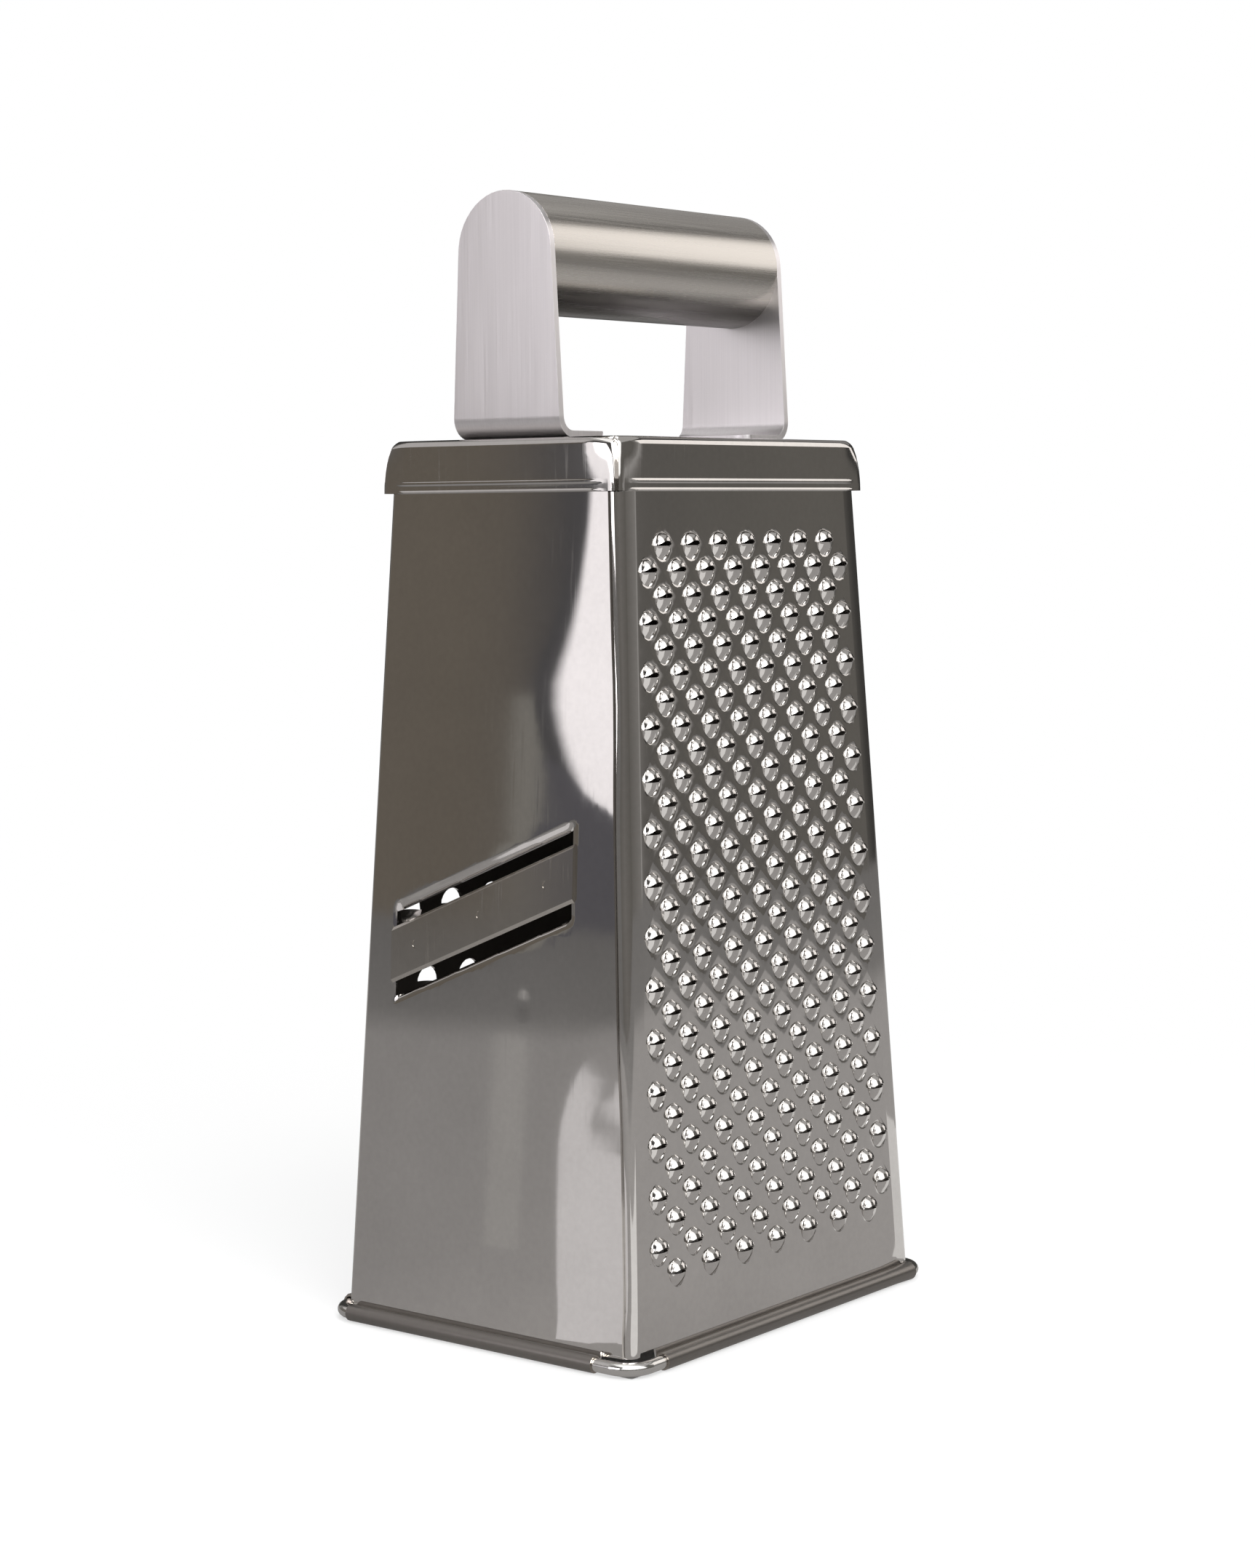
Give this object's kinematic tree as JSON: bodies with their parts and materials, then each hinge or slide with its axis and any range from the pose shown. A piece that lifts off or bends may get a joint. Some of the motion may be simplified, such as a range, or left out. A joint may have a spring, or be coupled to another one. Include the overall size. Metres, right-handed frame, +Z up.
{
  "type": "box grater",
  "caption": "Tall four-sided stand-up grater of polished sheet steel on a wire rim, with a pressed lid and a tube handle on two brackets.",
  "frame": {"origin": "on the floor, under the middle of the wire rim", "axes": "+Z up; X runs along the handle, with the slicer on -X; the small shredding teeth face -Y"},
  "size_m": [0.115, 0.0904, 0.25],
  "materials": {
    "polished_sheet": "bright rolled stainless steel with a soft mirror and fine scratches",
    "blade_steel": "satin stainless strip with ground edges and three spot weld marks",
    "rim_steel": "bright drawn stainless wire",
    "brushed_handle": "stainless steel brushed along its length"
  },
  "bodies": {
    "root": {"front_panel": "polished_sheet", "back_panel": "polished_sheet", "slicer_panel": "polished_sheet", "rasp_panel": "polished_sheet", "slicer_blade": "blade_steel", "rim_wire": "rim_steel", "lid": "polished_sheet", "handle_bracket_left": "brushed_handle", "handle_bracket_right": "brushed_handle", "handle_tube": "brushed_handle"}
  },
  "joints": []
}
